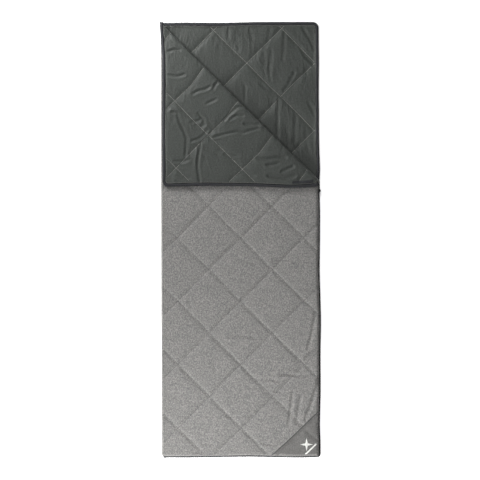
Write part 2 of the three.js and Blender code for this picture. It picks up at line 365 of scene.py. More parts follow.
# ---- Mesh helpers ----
def to_object(name, bm, smooth=True):
    mesh = bpy.data.meshes.new(name)
    bm.to_mesh(mesh)
    bm.free()
    if smooth:
        mesh.shade_smooth()
    made = bpy.data.objects.new(name, mesh)
    bpy.context.scene.collection.objects.link(made)
    return made


def evaluated(obj):
    """A new mesh of obj with its modifiers applied."""
    graph = bpy.context.evaluated_depsgraph_get()
    return bpy.data.meshes.new_from_object(obj.evaluated_get(graph), depsgraph=graph)


def settle(obj):
    """Applies every modifier."""
    mesh = evaluated(obj)
    obj.modifiers.clear()
    obj.data = mesh
    return obj


def discard(obj):
    data = obj.data
    bpy.data.objects.remove(obj)
    if isinstance(data, bpy.types.Curve):
        bpy.data.curves.remove(data)
    else:
        bpy.data.meshes.remove(data)


def arc(centre, radius, start, end, steps=7):
    """Points on a quarter circle, with start and end in quarter turns."""
    turns = [start + (end - start) * i / steps for i in range(steps + 1)]
    return [
        Vector((centre[0] + radius * math.cos(t * math.pi / 2),
                centre[1] + radius * math.sin(t * math.pi / 2)))
        for t in turns
    ]


# ---- The zipped edges and the outlines of the three layers, moved inwards by an inset ----
# Every outline turns anticlockwise.
def base_rim(inset):
    """From the head end of the long fold, clockwise along the zip to the foot."""
    head, side, foot = HEAD_Y - inset, SIDE_X - inset, FOOT_Y + inset
    a, b = max(HEAD_RADIUS - inset, 1 * MM), max(FOOT_RADIUS - inset, 1 * MM)
    return [
        Vector((FOLD_X, head)),
        *arc((side - a, head - a), a, 1, 0),
        *arc((side - b, foot + b), b, 0, -1),
        Vector((FOLD_X, foot)),
    ]


def cover_rim(inset):
    """From the end of the diagonal fold, along the zip to the foot of the long fold."""
    side, foot = SIDE_X - inset, FOOT_Y + inset
    b = max(FOOT_RADIUS - inset, 1 * MM)
    return [
        Vector((side, FOLD_SUM - side)),
        *arc((side - b, foot + b), b, 0, -1),
        Vector((FOLD_X, foot)),
    ]


def flap_rim(inset):
    """From the head end of the diagonal fold, down and along to its other end."""
    left, low = FOLD_X + inset, FLAP_Y + inset
    a = max(HEAD_RADIUS - inset, 1 * MM)
    return [
        Vector((left, FOLD_SUM - left)),
        *arc((left + a, low + a), a, 2, 3),
        Vector((min(SIDE_X, FOLD_SUM - low), low)),
    ]


def base_outline(inset):
    return base_rim(inset)[::-1]


def cover_outline(inset):
    return [Vector((FOLD_X, HEAD_Y)), *cover_rim(inset)][::-1]


def flap_outline(inset):
    rim = flap_rim(inset)
    if rim[-1].y < FOLD_END_Y:
        rim.append(Vector((SIDE_X, FOLD_END_Y)))
    return rim


# ---- Cloth panels ----
def seam_gap(value, first, pitch):
    """How far value is from the nearest seam."""
    return abs((value - first) / pitch - round((value - first) / pitch)) * pitch


def seam_distance(x, y, seams):
    u0, pitch_u, v0, pitch_v = seams
    return min(seam_gap((x + y) * HALF_ROOT, u0, pitch_u),
               seam_gap((x - y) * HALF_ROOT, v0, pitch_v))


def trim(bm, outline):
    """Cuts a flat grid to a convex outline that turns anticlockwise."""
    for here, after in zip(outline, outline[1:] + outline[:1]):
        run = after - here
        if run.length < 0.1 * MM:
            continue
        bmesh.ops.bisect_plane(
            bm, geom=[*bm.verts, *bm.edges, *bm.faces], plane_co=(*here, 0),
            plane_no=(run.y, -run.x, 0), clear_outer=True)


def cloth_lattice(outline, seams, cells):
    """A flat grid of cells that run along the seams, cut to the outline."""
    u0, pitch_u, v0, pitch_v = seams
    step_u, step_v = pitch_u / cells, pitch_v / cells
    us = [(p.x + p.y) * HALF_ROOT for p in outline]
    vs = [(p.x - p.y) * HALF_ROOT for p in outline]
    low_u, high_u = math.floor((min(us) - u0) / step_u), math.ceil((max(us) - u0) / step_u)
    low_v, high_v = math.floor((min(vs) - v0) / step_v), math.ceil((max(vs) - v0) / step_v)
    count_u, count_v = high_u - low_u, high_v - low_v
    bm = bmesh.new()
    bmesh.ops.create_grid(bm, x_segments=count_u, y_segments=count_v, size=0.5)
    to_seams = Matrix.Diagonal((step_u * count_u, step_v * count_v, 1, 1))
    middle = Matrix.Translation((u0 + step_u * (low_u + count_u / 2),
                                 v0 + step_v * (low_v + count_v / 2), 0))
    turn = Matrix(((HALF_ROOT, HALF_ROOT, 0, 0), (HALF_ROOT, -HALF_ROOT, 0, 0),
                   (0, 0, 1, 0), (0, 0, 0, 1)))
    bmesh.ops.transform(bm, matrix=turn @ middle @ to_seams, verts=bm.verts)
    trim(bm, outline)
    bmesh.ops.remove_doubles(bm, verts=bm.verts, dist=2 * MM)
    face_up(bm)
    return bm


def inflate(panel, held, slack, pressure, frames):
    """Blows the cloth up between the held points by simulation, and returns how each point moved.

    slack is how much bigger than sewn the cloth was cut, along X and Y, as shares.
    """
    group = panel.vertex_groups.new(name="held")
    group.add(held, 1, "REPLACE")
    panel.shape_key_add(name="sewn")
    cut = panel.shape_key_add(name="cut")
    for point in cut.data:
        point.co.x *= 1 + slack[0]
        point.co.y *= 1 + slack[1]
    cloth = panel.modifiers.new("cloth", "CLOTH")
    cloth.collision_settings.use_collision = False
    settings = cloth.settings
    settings.vertex_group_mass = "held"
    settings.quality = 5
    settings.mass = 0.15
    settings.tension_stiffness = 15
    settings.compression_stiffness = 15
    settings.shear_stiffness = 5
    settings.bending_stiffness = 0.05
    settings.use_pressure = True
    settings.uniform_pressure_force = pressure
    settings.rest_shape_key = cut
    settings.effector_weights.gravity = 0
    scene = bpy.context.scene
    scene.frame_start, scene.frame_end = 1, frames
    for step in range(1, frames + 1):
        scene.frame_set(step)
    graph = bpy.context.evaluated_depsgraph_get()
    moved = [v.co.copy() for v in panel.evaluated_get(graph).data.vertices]
    panel.modifiers.clear()
    panel.shape_key_clear()
    panel.vertex_groups.clear()
    scene.frame_set(1)
    return [after - v.co for after, v in zip(moved, panel.data.vertices)]


def rim_distance(point, rim):
    """Distance from a point to an open run of straight pieces."""
    best = 1.0
    for a, b in zip(rim, rim[1:]):
        run = b - a
        if run.length_squared:
            share = max(0.0, min(1.0, (point - a).dot(run) / run.length_squared))
            best = min(best, (point - a - run * share).length)
    return best


def bulge(share):
    """A quarter circle from 0 at 0 to 1 at 1, as cloth rolls over an edge."""
    return math.sqrt(1 - (1 - min(share, 1.0)) ** 2)


def ease(share):
    """A soft rise from 0 at 0 to 1 at 1, as cloth lies inside a fold."""
    return between(share, 0, 1)


def between(value, low, high):
    """0 below low, 1 above high, and a smooth rise between."""
    share = max(0.0, min(1.0, (value - low) / (high - low)))
    return share * share * (3 - 2 * share)


def flap_level(point):
    """Height of the turned-back corner's edge: it is held up where the fold begins."""
    away = math.hypot(point.x - FOLD_X, point.y - HEAD_Y)
    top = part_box("flap_zip_coil")[1].z
    return FLAP_SAG_Z + (top - FLAP_SAG_Z) * (1 - between(away, 15 * MM, 150 * MM))


def skewed(x, y):
    """Where a point of the turned-back corner comes to lie.

    It has crept along the fold, and its lower edge hangs towards the side.
    """
    away = (FOLD_SUM - x - y) * HALF_ROOT
    creep = 9 * MM * between(away, 5 * MM, 120 * MM)
    hang = 13 * MM * between(x, 0, 0.33) * between(away, 0, 22 * MM)
    hang *= between(FLAP_Y - y, -0.16, -0.02)
    return x + creep, y - creep - hang


def wobble(x, y):
    """Sideways wander of the sewn cloth, the same for every piece at one place.

    It fades at both folds, so that the two sides of a fold stay together as it opens, and at the
    hard fittings.
    """
    wave = noise.noise_vector(Vector((x * 4.5, y * 4.5, 3.7))) * 5 * MM
    wave.x *= min(1.0, abs(x - FOLD_X) / (40 * MM))
    for fitting in FITTINGS:
        wave *= between(math.hypot(x - fitting[0], y - fitting[1]), 20 * MM, 110 * MM)
    gap = abs(x + y - FOLD_SUM) * HALF_ROOT / (40 * MM)
    if gap < 1:
        wave -= Vector((1, 1, 0)) * (wave.x + wave.y) / 2 * (1 - gap)
    corner = math.hypot(x - FOLD_X, y - FOOT_Y)
    pull = FOOT_CORNER * HALF_ROOT * max(0.0, 1 - corner / (3 * FOOT_CORNER))
    return wave.x + pull, wave.y + pull


def crease(x, y, run, seed):
    """1 along the bottom of a pressed crease and 0 beside it. run is how often creases come
    along X and along Y, per metre."""
    bend = noise.noise_vector(Vector((x * 7, y * 7, seed))) * 0.02
    line = noise.noise(Vector(((x + bend.x) * run[0], (y + bend.y) * run[1], seed + 5)))
    patchy = noise.noise(Vector((x * 6, y * 6, seed + 9)))
    return between(-abs(line), -0.12, 0.0) * between(patchy, -0.1, 0.3)


def soft_floor(value, floor, width):
    """The higher of the two, with a smooth change from one to the other."""
    return (value + floor + math.hypot(value - floor, width)) / 2


def pressed_depth(point, strokes):
    """How deep the listed creases are pressed at a point, with a slight rise beside each."""
    depth = 0.0
    for line, low, high, deepest in strokes:
        if low.x < point.x < high.x and low.y < point.y < high.y:
            away = rim_distance(point, line) / CREASE_WIDTH
            end = min((point - line[0]).length, (point - line[-1]).length) / (12 * MM)
            shape = math.exp(-away * away) - 0.35 * math.exp(-((away - 1.9) ** 2))
            depth += deepest * shape * (0.4 + 0.6 * min(1.0, end))
    return depth


def strokes(*runs):
    """Creases as (line, low corner, high corner, depth), from (depth in mm, (x, y), ...)."""
    made = []
    margin = Vector((4, 4)) * CREASE_WIDTH
    for deepest, *points in runs:
        line = [Vector(point) for point in points]
        low = Vector((min(p.x for p in line), min(p.y for p in line))) - margin
        high = Vector((max(p.x for p in line), max(p.y for p in line))) + margin
        made.append((line, low, high, 1.55 * deepest * MM))
    return made


# Creases that folding and lying have pressed into the cloth, in the flat pattern: how deep in
# millimetres, and the points that each runs through.
CREASE_WIDTH = 5.5 * MM
CREASES = {
    "flap_lining_cloth": strokes(
        (8, (-.320, .591), (-.297, .588), (-.286, .549), (-.268, .512), (-.253, .475), (-.260, .40)),
        (7, (-.194, .433), (-.203, .375), (-.204, .343), (-.194, .264)),
        (5, (-.226, .678), (-.197, .691), (-.165, .694), (-.139, .704)),
        (5, (-.126, .691), (-.112, .712), (-.096, .723)),
        (4, (-.160, .633), (-.139, .641), (-.115, .649)),
        (4, (-.342, .762), (-.302, .757), (-.265, .765)),
        (3, (-.342, .865), (-.310, .872), (-.280, .868)),
        (6, (-.081, .559), (-.049, .586), (-.012, .609), (.020, .607)),
        (4, (-.054, .560), (-.023, .574), (.012, .570)),
        (7, (.014, .536), (.046, .530), (.083, .528)),
        (5, (-.128, .480), (-.081, .493), (-.023, .507), (.004, .499), (.051, .509), (.083, .514)),
        (5, (-.234, .459), (-.197, .470), (-.170, .496), (-.160, .512)),
        (4, (-.234, .545), (-.200, .552), (-.180, .568)),
        (5, (-.199, .588), (-.176, .559), (-.173, .536), (-.186, .528)),
        (9, (.067, .383), (.114, .380), (.157, .383), (.204, .380)),
        (9, (.109, .354), (.141, .356), (.167, .359)),
        (9, (.178, .325), (.204, .333), (.236, .343)),
        (10, (.114, .306), (.162, .301), (.194, .298), (.241, .306)),
        (4, (-.020, .312), (.004, .310), (.056, .306)),
        (5, (-.313, .369), (-.270, .367), (-.245, .375)),
        (4, (-.080, .400), (-.050, .392), (-.020, .396)),
        (4, (-.300, .300), (-.270, .290), (-.240, .292))),
    "base_lining_cloth": strokes(
        (8, (.249, .770), (.236, .739), (.215, .702), (.201, .686)),
        (10, (.175, .640), (.170, .586), (.167, .528), (.168, .470)),
        (5, (.252, .570), (.249, .501), (.244, .438)),
        (5, (.286, .976), (.310, .939), (.331, .897), (.344, .870)),
        (7, (.275, .886), (.299, .844), (.333, .807)),
        (6, (.339, .791), (.343, .739), (.343, .686)),
        (5, (.136, .965), (.128, .918), (.114, .881)),
        (4, (.204, .955), (.201, .886), (.196, .818)),
        (3, (.109, .860), (.107, .802), (.120, .739)),
        (4, (.146, .870), (.136, .781), (.141, .728)),
        (4, (-.012, .928), (-.015, .897), (-.007, .865)),
        (4, (.046, .965), (.056, .913)),
        (4, (-.054, .968), (-.054, .923)),
        (3, (-.112, .935), (-.115, .897)),
        (4, (.093, .717), (.122, .691)),
        (5, (.310, .633), (.328, .600), (.342, .570)),
        (3, (.025, .712), (.025, .633)),
        (3, (.080, .880), (.075, .820)),
        (4, (.300, .500), (.305, .440), (.312, .400))),
    "cover_outer_cloth": strokes(
        (2.5, (-.090, -.086), (-.040, -.082), (.027, -.095), (.078, -.120)),
        (2.5, (-.057, -.170), (.011, -.183), (.078, -.170)),
        (4, (.128, -.095), (.195, -.090), (.262, -.103), (.321, -.095)),
        (2.5, (.245, -.145), (.312, -.137)),
        (2.5, (.270, -.229), (.329, -.220)),
        (4.5, (-.057, -.447), (.011, -.438), (.069, -.447)),
        (7, (.178, -.618), (.220, -.614), (.262, -.627), (.304, -.614)),
        (6, (.078, -.644), (.128, -.635), (.178, -.648)),
        (3, (.100, -.700), (.150, -.690), (.190, -.700)),
        (5, (-.065, -.807), (-.006, -.807), (.052, -.799)),
        (5, (.094, -.933), (.145, -.941), (.195, -.924)),
        (4, (-.216, -.970), (-.174, -.979), (-.124, -.979)),
        (3.5, (-.182, -.933), (-.124, -.937)),
        (8, (.352, -.631), (.342, -.690), (.321, -.757), (.296, -.824)),
        (4.5, (.337, -.338), (.325, -.421), (.304, -.505)),
        (6, (.237, -.698), (.228, -.773), (.216, -.849)),
        (7, (.352, -.497), (.321, -.518), (.296, -.543), (.291, -.556)),
        (2.5, (-.241, -.271), (-.228, -.329)),
        (2, (-.124, -.505), (-.115, -.631)),
        (5, (.274, -.720), (.262, -.780), (.255, -.840)),
        (2.5, (-.340, -.020), (-.310, -.012), (-.280, -.018)),
        (2.5, (.050, -.300), (.110, -.292), (.170, -.305))),
}


def settled(x, y, layer=""):
    """Where a point of the flat pattern comes to lie."""
    if layer == "flap":
        x, y = skewed(x, y)
    dx, dy = wobble(x, y)
    return x + dx, y + dy


def quilted_cloth(name, outline, seams, middle, up, edges, slack, crumple, seed, cells=COARSE):
    """One face of a quilted layer.

    up is 1 where the face looks up, and -1 where it looks down. edges is a list of
    (line of the edge, height at the edge, width of the bend, its shape): the cloth bends to each.
    """
    panel = to_object(name, cloth_lattice(outline, seams, cells))
    puff = FLAT_PUFF if name.endswith("outer_cloth") else PUFF
    if name == "base_outer_cloth":
        puff = GROUND_PUFF
    pressed = CREASES.get(name, ())
    layer = name.split("_")[0]
    points = [v.co.to_2d() for v in panel.data.vertices]
    bm = bmesh.new()
    bm.from_mesh(panel.data)
    rim = {v.index for e in bm.edges if e.is_boundary for v in e.verts}
    bm.free()
    held = [i for i, p in enumerate(points)
            if i in rim or seam_distance(p.x, p.y, seams) < 0.5 * MM]
    moves = inflate(panel, held, slack, pressure=1.2, frames=16)
    for vertex, point, move in zip(panel.data.vertices, points, moves):
        away = seam_distance(point.x, point.y, seams)
        height = puff[0] * (1 - math.exp(-away / puff[1])) + 0.6 * max(move.z, -2 * MM)
        fold = noise.noise(Vector((point.x * 9, point.y * 9, seed))) * crumple[0]
        fold -= crease(point.x, point.y, crumple[1], seed) * crumple[2]
        height += fold * min(1.0, away / (20 * MM)) - pressed_depth(point, pressed)
        height = LOFT * math.tanh(height / LOFT)
        share = min(1.0, away / (14 * MM))
        height = soft_floor(height, 0.3 * MM + CREASE_FLOOR * share, 0.1 * MM + 0.6 * MM * share)
        z = middle + up * height
        shift = move.to_2d()
        shift *= min(1.0, 3 * MM / max(shift.length, 1e-6))
        for line, level, width, rise in edges:
            edge = level(point) if callable(level) else level
            away = rim_distance(point, line)
            z = edge + (z - edge) * rise(away / width)
            if line is LONG_FOLD or line is DIAGONAL:
                into = FROM_LONG_FOLD if line is LONG_FOLD else FROM_DIAGONAL
                shift += into * 0.4 * MM * max(0.0, 1 - away / (2 * MM))
        x, y = settled(point.x, point.y, layer)
        vertex.co = (x + shift.x, y + shift.y, z)
    if up < 0:
        panel.data.flip_normals()
    if cells == COARSE:
        smooth = panel.modifiers.new("smooth", "SUBSURF")
        smooth.levels = smooth.render_levels = 1
    wall = panel.modifiers.new("cloth", "SOLIDIFY")
    wall.thickness = CLOTH
    wall.offset = -1
    return panel


ROLL = LAYER  # width of the bend where the outside of a fold rolls over
CREASE = 45 * MM  # the same on the inside of a fold
RIM_BEND = 18 * MM  # the same along the zipped edges
TAPE_LEVEL = 1.0 * MM  # middle of a tape, from the plane where the two layers meet
TAPE_HALF = 0.4 * MM  # half of a tape's thickness
LINING_LEVEL = 0.05 * MM  # edge of the lining, from that plane
OUTER_LEVEL = 1.95 * MM  # edge of the outer cloth, from that plane
FOLD_GAP = 0.5 * MM  # between the two faces that touch inside a fold


def make_panels():
    """The six faces of the three layers, by name."""
    plane, above = LAYER, 2 * LAYER
    return {
        "base_outer": quilted_cloth(
            "base_outer_cloth", base_outline(SHELL_INSET), BASE_SEAMS, plane / 2, -1,
            [(LONG_FOLD, plane, ROLL, bulge),
             (base_rim(SHELL_INSET), plane - OUTER_LEVEL, RIM_BEND, bulge)],
            (0.02, 0.03), (1.5 * MM, (8, 16), 1 * MM), 1.0),
        "base_lining": quilted_cloth(
            "base_lining_cloth", base_outline(LINING_INSET), BASE_SEAMS, plane / 2, 1,
            [(LONG_FOLD, plane - FOLD_GAP, CREASE, ease),
             (base_rim(LINING_INSET), plane - LINING_LEVEL, RIM_BEND, bulge)],
            (0.06, 0.02), (2.5 * MM, (20, 6), 1.5 * MM), 2.0, FINE),
        "cover_lining": quilted_cloth(
            "cover_lining_cloth", cover_outline(LINING_INSET), COVER_SEAMS, 1.5 * plane, -1,
            [(LONG_FOLD, plane + FOLD_GAP, CREASE, ease), (DIAGONAL, above, ROLL, bulge),
             (cover_rim(LINING_INSET), plane + LINING_LEVEL, RIM_BEND, bulge)],
            (0.05, 0.02), (2 * MM, (20, 6), 2 * MM), 3.0),
        "cover_outer": quilted_cloth(
            "cover_outer_cloth", cover_outline(SHELL_INSET), COVER_SEAMS, 1.5 * plane, 1,
            [(LONG_FOLD, plane, ROLL / 2, bulge), (DIAGONAL, above - FOLD_GAP, CREASE, ease),
             (cover_rim(SHELL_INSET), plane + OUTER_LEVEL, RIM_BEND / 2, bulge)],
            (0.02, 0.035), (1.5 * MM, (8, 18), 1 * MM), 4.0, FINE),
        "flap_outer": quilted_cloth(
            "flap_outer_cloth", flap_outline(SHELL_INSET), FLAP_SEAMS, 2.5 * plane, -1,
            [(DIAGONAL, above + FOLD_GAP, CREASE, ease),
             (flap_rim(SHELL_INSET), lambda p: flap_level(p) - OUTER_LEVEL, RIM_BEND, bulge)],
            (0.03, 0.02), (1.5 * MM, (8, 16), 1 * MM), 5.0),
        "flap_lining": quilted_cloth(
            "flap_lining_cloth", flap_outline(LINING_INSET), FLAP_SEAMS, 2.5 * plane, 1,
            [(DIAGONAL, above, ROLL / 2, bulge),
             (flap_rim(LINING_INSET), flap_level, RIM_BEND, bulge)],
            (0.06, 0.05), (2.5 * MM, (9, 15), 1.5 * MM), 6.0, FINEST),
    }


# ---- Things that run along a line ----
def line_curve(name, points):
    curve = bpy.data.curves.new(name, "CURVE")
    curve.dimensions = "3D"
    curve.twist_mode = "Z_UP"
    spline = curve.splines.new("POLY")
    spline.points.add(len(points) - 1)
    for knot, point in zip(spline.points, points):
        knot.co = (*point, 1)
    made = bpy.data.objects.new(name, curve)
    bpy.context.scene.collection.objects.link(made)
    return made


def even_steps(line, step):
    """The same run of straight pieces with points about step apart."""
    made = []
    for a, b in zip(line, line[1:]):
        count = max(1, round((b - a).length / step))
        made += [a.lerp(b, i / count) for i in range(count)]
    return [*made, line[-1]]


def raised(line, level, layer=""):
    """A line of the flat pattern where it comes to lie, at a level."""
    return [Vector((*settled(p.x, p.y, layer), level(p) if callable(level) else level))
            for p in line]


def swept(name, line, profile):
    """A solid band: the closed profile [(outwards, up), ...] carried along the line."""
    shape = line_curve("profile", [Vector((x, y, 0)) for x, y in profile])
    shape.data.dimensions = "2D"
    shape.data.splines[0].use_cyclic_u = True
    path = line_curve(name, line)
    path.data.bevel_mode = "OBJECT"
    path.data.bevel_object = shape
    path.data.use_fill_caps = True
    mesh = evaluated(path)
    discard(path)
    discard(shape)
    bm = bmesh.new()
    bm.from_mesh(mesh)
    bmesh.ops.remove_doubles(bm, verts=bm.verts, dist=0.01 * MM)
    bmesh.ops.recalc_face_normals(bm, faces=bm.faces)
    bpy.data.meshes.remove(mesh)
    return to_object(name, bm)


def repeated(name, unit, line, pitch):
    """Copies of a small shape, one for each pitch along the line. The shape lies along X."""
    path = line_curve("path", line)
    copy = bpy.data.objects.new("unit", unit)
    bpy.context.scene.collection.objects.link(copy)
    row = copy.modifiers.new("row", "ARRAY")
    row.fit_type = "FIT_CURVE"
    row.curve = path
    row.use_relative_offset = False
    row.use_constant_offset = True
    row.constant_offset_displace = (pitch, 0, 0)
    bend = copy.modifiers.new("bend", "CURVE")
    bend.object = path
    mesh = evaluated(copy)
    bpy.data.objects.remove(copy)
    discard(path)
    made = bpy.data.objects.new(name, mesh)
    bpy.context.scene.collection.objects.link(made)
    return made


def join(name, parts):
    """One object from several."""
    bm = bmesh.new()
    for part in parts:
        bm.from_mesh(part.data)
        discard(part)
    return to_object(name, bm)


def coil_turn():
    """One turn of the zip's coil: a flattened ring of monofilament, set across the tape."""
    bm = bmesh.new()
    wire, reach = 0.55 * MM, 1.25 * MM
    bmesh.ops.create_circle(bm, segments=5, radius=wire)
    bmesh.ops.rotate(bm, verts=bm.verts, matrix=Matrix.Rotation(math.pi / 2, 3, "X"))
    bmesh.ops.translate(bm, verts=bm.verts, vec=(0, 0, 0.7 * MM))
    bmesh.ops.spin(
        bm, geom=[*bm.verts, *bm.edges], cent=(0, 0, 0), axis=(1, 0, 0), angle=2 * math.pi,
        steps=8, use_merge=True)
    bmesh.ops.remove_doubles(bm, verts=bm.verts, dist=0.01 * MM)
    bmesh.ops.scale(bm, verts=bm.verts, vec=(1, reach / (0.7 * MM), 1))
    bmesh.ops.recalc_face_normals(bm, faces=bm.faces)
    mesh = bpy.data.meshes.new("coil_turn")
    bm.to_mesh(mesh)
    bm.free()
    return mesh


def stitch():
    """One stitch of thread, a short rod with tapered ends, lying along X."""
    bm = bmesh.new()
    bmesh.ops.create_uvsphere(bm, u_segments=6, v_segments=5, radius=1)
    bmesh.ops.rotate(bm, verts=bm.verts, matrix=Matrix.Rotation(math.pi / 2, 3, "Y"))
    bmesh.ops.scale(bm, verts=bm.verts, vec=(2.8 * MM, 0.75 * MM, 0.45 * MM))
    mesh = bpy.data.meshes.new("stitch")
    bm.to_mesh(mesh)
    bm.free()
    mesh.shade_smooth()
    return mesh


def face_up(bm):
    """Turns every face of an open sheet upwards."""
    bmesh.ops.recalc_face_normals(bm, faces=bm.faces)
    if sum(face.normal.z for face in bm.faces) < 0:
        bmesh.ops.reverse_faces(bm, faces=bm.faces)


def surface_of(panel):
    return BVHTree.FromObject(panel, bpy.context.evaluated_depsgraph_get())


def on_surface(tree, x, y, up, lift):
    """The point on the cloth at x, y, lifted off it, or None beside the cloth."""
    hit = tree.ray_cast(Vector((x, y, up * 1.0)), Vector((0, 0, -up)))[0]
    return hit + Vector((0, 0, up * lift)) if hit else None


def seam_lines(outline, seams):
    """Every seam inside the outline, as pairs of ends."""
    u0, pitch_u, v0, pitch_v = seams
    low = Vector((min(p.x for p in outline), min(p.y for p in outline)))
    high = Vector((max(p.x for p in outline), max(p.y for p in outline)))
    middle, reach = (low + high) / 2, (high - low).length / 2
    lines = []
    for first, pitch, across in ((u0, pitch_u, Vector((1, 1))), (v0, pitch_v, Vector((1, -1)))):
        across = across.normalized()
        along = Vector((across.y, -across.x))
        centre = middle.dot(across)
        number = math.ceil((centre - reach - first) / pitch)
        while first + number * pitch < centre + reach:
            root = across * (first + number * pitch) + along * middle.dot(along)
            lines.append(clip(root - along * reach, root + along * reach, outline))
            number += 1
    return [line for line in lines if line]


def clip(a, b, outline):
    """The part of a line that lies inside a convex outline that turns anticlockwise."""
    start, end = 0.0, 1.0
    for here, after in zip(outline, outline[1:] + outline[:1]):
        run = after - here
        inside_a, inside_b = run.cross(a - here), run.cross(b - here)
        if inside_a < 0 and inside_b < 0:
            return None
        if inside_a < 0 or inside_b < 0:
            share = inside_a / (inside_a - inside_b)
            start, end = (max(start, share), end) if inside_a < 0 else (start, min(end, share))
    return (a.lerp(b, start), a.lerp(b, end)) if end - start > 0.01 else None


def quilting_thread(name, panel, outline, seams, up, layer):
    """The stitches along every seam of a panel, lying on the cloth."""
    tree = surface_of(panel)
    unit = stitch()
    rows = []
    for a, b in seam_lines(outline, seams):
        if max(abs(FOLD_SUM - p.x - p.y) for p in (a, b)) < 10 * MM:
            continue
        short = (b - a).normalized() * 5 * MM
        a, b = a + short, b - short
        line = []
        for point in raised(even_steps([a, b], 8 * MM), 0, layer):
            place = on_surface(tree, point.x, point.y, up, 0.3 * MM)
            if place:
                line.append(place)
        if len(line) > 3:
            rows.append(repeated("row", unit, line, 6.4 * MM))
    bpy.data.meshes.remove(unit)
    return join(name, rows)


# ---- Wadding ----
def wadding(name, outline, folds, seams, middle, top, bottom):
    """The filling of a layer, a pad that fits between its two faces and pinches at the seams."""
    bm = cloth_lattice(outline, seams, 24)
    for place, away in folds:
        bmesh.ops.bisect_plane(
            bm, geom=[*bm.verts, *bm.edges, *bm.faces], plane_co=(*place, 0),
            plane_no=(*away, 0), clear_inner=True)
    lower = list(bm.verts)
    grown = bmesh.ops.extrude_face_region(bm, geom=bm.faces[:])["geom"]
    upper = [v for v in grown if isinstance(v, bmesh.types.BMVert)]
    for verts, tree, up in ((lower, bottom, -1), (upper, top, 1)):
        for v in verts:
            face = on_surface(tree, v.co.x, v.co.y, up, 0)
            height = up * (face.z - middle) * 0.5 - 2 * MM if face else 0
            v.co.z = middle + up * max(0.05 * MM, height)
    bmesh.ops.recalc_face_normals(bm, faces=bm.faces)
    return to_object(name, bm)


# ---- Cloth that runs on round the folds ----
def fold_strip(name, line, inwards, level, below, above, out, reach):
    """The cloth that joins two faces across a fold.

    line is the fold's two ends, inwards the way from it into the quilt, and level its height.
    below and above are the faces it joins, and out is 1 on the outside of the fold and -1 on
    the inside.
    """
    across = 14
    rows = round((line[1] - line[0]).length / (10 * MM))
    bm = bmesh.new()
    bmesh.ops.create_grid(bm, x_segments=across, y_segments=rows, size=1)
    for v in bm.verts:
        share = abs(v.co.x) ** 1.6
        place = line[0].lerp(line[1], (v.co.y + 1) / 2) + inwards * (0.3 * MM + reach * share)
        x, y = settled(place.x, place.y)
        side = 1 if v.co.x > 0 else -1
        face = on_surface(above if side > 0 else below, x, y, side * out, 0.2 * MM)
        nose = inwards * 0.7 * MM * (1 - share)
        if abs(v.co.x) < 0.01 or not face:
            face = Vector((x, y, level))
        v.co = (face.x - nose.x, face.y - nose.y, face.z)
    bmesh.ops.recalc_face_normals(bm, faces=bm.faces)
    strip = to_object(name, bm)
    wall = strip.modifiers.new("cloth", "SOLIDIFY")
    wall.thickness = 0.3 * MM
    wall.offset = 0
    return strip


def bridge_fold(strip, finish_of):
    """Gives a fold's cloth its material, and applies its modifiers and its placing to the mesh."""
    strip.data.materials.append(finish_of)
    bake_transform(settle(strip))


# ---- Zip ----
def zip_tape(name, rim, level, layer):
    """A woven tape, from just outside the edge to under the lining."""
    line = rim(0)
    line = line if line[0].x < line[-1].x else line[::-1]
    line = raised(even_steps(line, 8 * MM), level, layer)
    out, low, high = 0.6 * MM, -TAPE_HALF, TAPE_HALF
    return swept(name, line, [(-TAPE_INSET, low), (out, low), (out, high), (-TAPE_INSET, high)])


def zip_coil(name, rim, level, layer):
    unit = coil_turn()
    line = raised(even_steps(rim(-COIL_OUT), 8 * MM), level, layer)
    made = repeated(name, unit, line, 2.5 * MM)
    bpy.data.meshes.remove(unit)
    return made


def edge_thread(name, rim, inset, panel, up, layer):
    """The row of stitches that holds a panel to its tape."""
    tree = surface_of(panel)
    unit = stitch()
    line = [on_surface(tree, p.x, p.y, up, 0.3 * MM)
            for p in raised(even_steps(rim(inset), 8 * MM), 0, layer)]
    made = repeated(name, unit, [p for p in line if p], 6.4 * MM)
    bpy.data.meshes.remove(unit)
    return made


def ending(rim, start=None, end=None):
    """A rim whose first or last point is moved, where the coil stops short."""
    def cut(offset):
        line = rim(offset)
        if start is not None:
            line[0] = start(line[0])
        if end is not None:
            line[-1] = end(line[-1])
        return line
    return cut


# ---- Corner patch ----
def patch_line(away):
    """The patch's slanting edge, moved away from its corner: from the foot to the side."""
    low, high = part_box("corner_patch")
    run = Vector((high.x - low.x, high.y - low.y)).normalized()
    out = Vector((-run.y, run.x)) * away
    return [Vector((low.x, low.y)) + out, Vector((high.x, high.y)) + out]


def draped_sheet(name, outline, tree, lift, step, thickness, layer=""):
    """A flat cut sheet laid on the cloth below it."""
    low = Vector((min(p.x for p in outline), min(p.y for p in outline)))
    high = Vector((max(p.x for p in outline), max(p.y for p in outline)))
    size = high - low
    bm = bmesh.new()
    bmesh.ops.create_grid(
        bm, x_segments=math.ceil(size.x / step), y_segments=math.ceil(size.y / step), size=0.5)
    bmesh.ops.scale(bm, verts=bm.verts, vec=(size.x, size.y, 1))
    bmesh.ops.translate(bm, verts=bm.verts, vec=(*((low + high) / 2), 0))
    trim(bm, outline)
    for v in bm.verts:
        face = on_surface(tree, *settled(v.co.x, v.co.y, layer), 1, lift)
        if face:
            v.co = face
    for _ in range(2):
        inner = [v for v in bm.verts if not v.is_boundary]
        bmesh.ops.smooth_vert(bm, verts=inner, factor=0.5, use_axis_z=True)
    face_up(bm)
    sheet = to_object(name, bm)
    smooth = sheet.modifiers.new("smooth", "SUBSURF")
    smooth.levels = smooth.render_levels = 1
    wall = sheet.modifiers.new("cloth", "SOLIDIFY")
    wall.thickness = thickness
    wall.offset = -1
    return sheet


